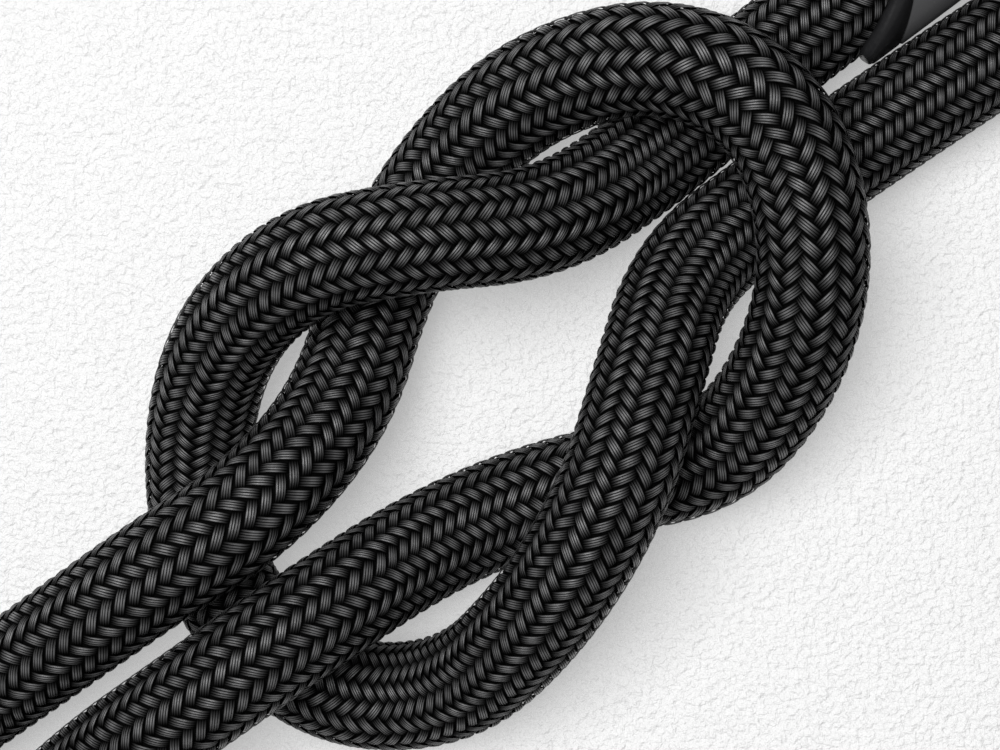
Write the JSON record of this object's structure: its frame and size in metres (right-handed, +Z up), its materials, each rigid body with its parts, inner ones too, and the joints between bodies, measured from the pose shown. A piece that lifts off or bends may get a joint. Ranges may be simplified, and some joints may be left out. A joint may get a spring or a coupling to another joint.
{
  "type": "charging cable",
  "caption": "Braided charging cable tied in a loose reef knot, USB-C plug at one end and USB-A at the other, spare length wound in a tied coil.",
  "frame": {"origin": "centre of the bounding box's underside, on the surface the cable lies on", "axes": "+Z up, +X along the longest side of the layout, from the USB-A plug to the coil"},
  "size_m": [0.1408, 0.0933, 0.0107],
  "materials": {
    "braid": "woven nylon, satin",
    "collar": "satin",
    "strain_relief": "satin",
    "housing": "bead-blasted, dark anodised",
    "steel": "plated",
    "crimp": "drawn",
    "jacket": "matte",
    "inner_mould": "natural polyethylene",
    "insulator": "matte",
    "gold_contact": "gold flash",
    "board": "solder mask",
    "resistor": "matte",
    "wire_red": "smooth",
    "wire_black": "smooth",
    "wire_white": "smooth",
    "wire_green": "smooth",
    "tie_strap": "looped pile",
    "tie_hook": "moulded hooks"
  },
  "bodies": {
    "cable": {"cable_coil": "braid", "cable_lead_a": "braid", "cable_lead_c": "braid", "circuit_board_c": "board", "collar_a": "collar", "collar_c": "collar", "contact_carrier_a": "insulator", "contact_carrier_c": "insulator", "contacts_a": "gold_contact", "contacts_lower_c": "gold_contact", "contacts_upper_c": "gold_contact", "crimp_ferrule_a": "crimp", "crimp_ferrule_c": "crimp", "ground_springs_c": "steel", "housing_a": "housing", "housing_c": "housing", "inner_jacket_a": "jacket", "inner_jacket_c": "jacket", "inner_mould_a": "inner_mould", "inner_mould_c": "inner_mould", "pull_up_resistor_c": "resistor", "rear_shell_a": "steel", "shield_can_c": "steel", "steel_shell_a": "steel", "steel_shell_c": "steel", "strain_relief_a": "strain_relief", "strain_relief_c": "strain_relief", "tie_strap": "tie_strap", "wire_data_minus_a": "wire_white", "wire_data_minus_c": "wire_white", "wire_data_plus_a": "wire_green", "wire_data_plus_c": "wire_green", "wire_ground_a": "wire_black", "wire_ground_c": "wire_black", "wire_power_a": "wire_red", "wire_power_c": "wire_red"},
    "tie_tab": {"tie_hook_tab": "tie_hook"},
    "latch_left": {"latch_left_c": "steel"},
    "latch_right": {"latch_right_c": "steel"}
  },
  "joints": [
    {"name": "tie_tab_lift", "type": "hinge", "parent": "cable", "child": "tie_tab", "pos_m": [0.06664, 0.01317, 0.01], "axis": [-0.5, 0.866, 0], "range_deg": [0, 90]},
    {"name": "latch_left_flex", "type": "hinge", "parent": "cable", "child": "latch_left", "pos_m": [0.03168, 0.0425, 0.003], "axis": [0, 0, 1], "range_deg": [0, 2.2], "stiffness_Nm_per_rad": 0.05},
    {"name": "latch_right_flex", "type": "hinge", "parent": "cable", "child": "latch_right", "pos_m": [0.0358, 0.03702, 0.003], "axis": [0, 0, -1], "range_deg": [0, 2.2], "stiffness_Nm_per_rad": 0.05}
  ]
}
